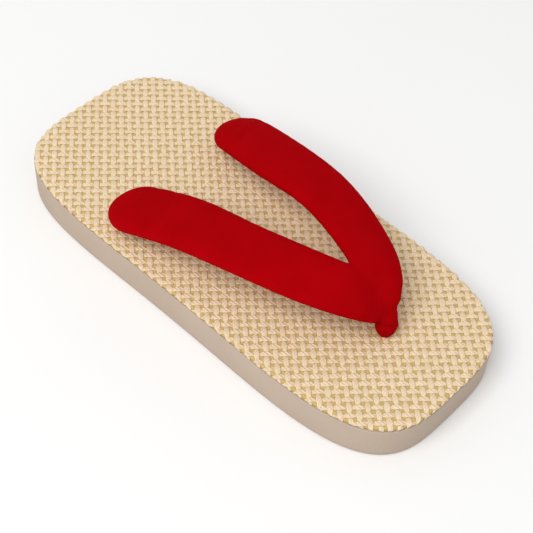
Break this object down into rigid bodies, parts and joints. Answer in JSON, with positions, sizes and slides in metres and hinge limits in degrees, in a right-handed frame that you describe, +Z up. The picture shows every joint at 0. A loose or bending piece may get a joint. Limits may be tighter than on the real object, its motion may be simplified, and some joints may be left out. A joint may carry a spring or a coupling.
{
  "type": "zori sandal",
  "caption": "Flat zori sandal: rounded-oblong foam slab sole, woven straw-coloured mat and a padded red velvet V strap held down at the toe by a short post.",
  "frame": {"origin": "on the floor under the middle of the sole, at the centre of the part's box", "axes": "+X to the toe, +Y to the wearer's left, +Z up from the floor"},
  "size_m": [0.245, 0.1054, 0.0531],
  "materials": {
    "foam": "matte beige closed-cell foam",
    "straw": "plain weave of cream strands with ochre gaps, low sheen",
    "velvet": "red velvet, short nap, soft sheen"
  },
  "bodies": {
    "root": {"sole": "foam", "mat": "straw", "strap": "velvet", "toe_post": "velvet"}
  },
  "joints": []
}
